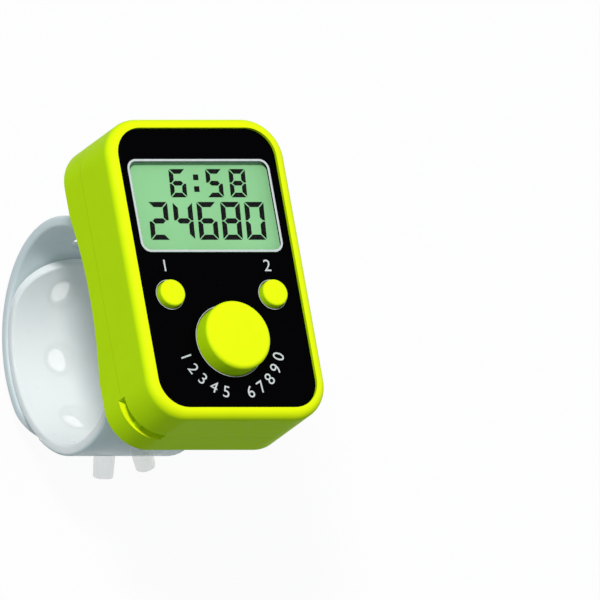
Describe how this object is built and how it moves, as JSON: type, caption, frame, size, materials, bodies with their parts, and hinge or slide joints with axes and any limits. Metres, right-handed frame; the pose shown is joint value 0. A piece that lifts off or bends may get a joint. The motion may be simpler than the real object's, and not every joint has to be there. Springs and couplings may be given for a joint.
{
  "type": "digital tally counter",
  "caption": "Finger-worn digital tally counter: flat casing with a display, a large count button and small side buttons, on an adjustable soft ring of pegged straps.",
  "frame": {"origin": "in the middle of the ring, on its axis, where the finger goes through", "axes": "+X to the right of the display, +Y towards the display's top, +Z out of the display's face"},
  "size_m": [0.0274, 0.043, 0.0508],
  "materials": {
    "case_plastic": "satin moulded lime plastic",
    "button_plastic": "satin moulded lime plastic",
    "panel_black": "gloss black printed panel",
    "window_clear": "clear window",
    "display_glass": "grey-green display glass",
    "reflector_film": "dull reflecting film",
    "frame_plastic": "natural white plastic",
    "contact_rubber": "striped silicone",
    "board_laminate": "green solder mask",
    "resin_black": "black resin",
    "bright_metal": "plated steel",
    "capacitor_body": "ceramic",
    "dome_rubber": "matt silicone",
    "spring_metal": "nickel-plated spring strip",
    "screw_steel": "zinc-plated steel",
    "strap_soft": "translucent soft plastic, satin"
  },
  "bodies": {
    "casing": {"front_shell": "case_plastic", "back_cover": "case_plastic", "faceplate": "panel_black", "display_window": "window_clear", "display_front_glass": "display_glass", "display_rear_glass": "display_glass", "display_reflector": "reflector_film", "display_frame": "frame_plastic", "zebra_strip": "contact_rubber", "circuit_board": "board_laminate", "chip": "resin_black", "clock_crystal": "bright_metal", "capacitors": "capacitor_body", "count_dome": "dome_rubber", "left_dome": "dome_rubber", "right_dome": "dome_rubber", "button_cell": "bright_metal", "negative_contact": "spring_metal", "positive_contact": "spring_metal", "battery_door": "case_plastic", "case_screws": "screw_steel", "board_screws": "screw_steel", "door_screw": "screw_steel", "upper_strap": "strap_soft", "lower_strap": "strap_soft"},
    "count_key": {"count_button": "button_plastic"},
    "left_key": {"left_button": "button_plastic"},
    "right_key": {"right_button": "button_plastic"}
  },
  "joints": [
    {"name": "count_press", "type": "slide", "parent": "casing", "child": "count_key", "axis": [0, 0, -1], "range_m": [0, 0.001], "stiffness_N_per_m": 600, "springref_m": -0.001, "deforming": ["count_dome"]},
    {"name": "left_press", "type": "slide", "parent": "casing", "child": "left_key", "axis": [0, 0, -1], "range_m": [0, 0.0007], "stiffness_N_per_m": 500, "springref_m": -0.001, "deforming": ["left_dome"]},
    {"name": "right_press", "type": "slide", "parent": "casing", "child": "right_key", "axis": [0, 0, -1], "range_m": [0, 0.0007], "stiffness_N_per_m": 500, "springref_m": -0.001, "deforming": ["right_dome"]}
  ]
}
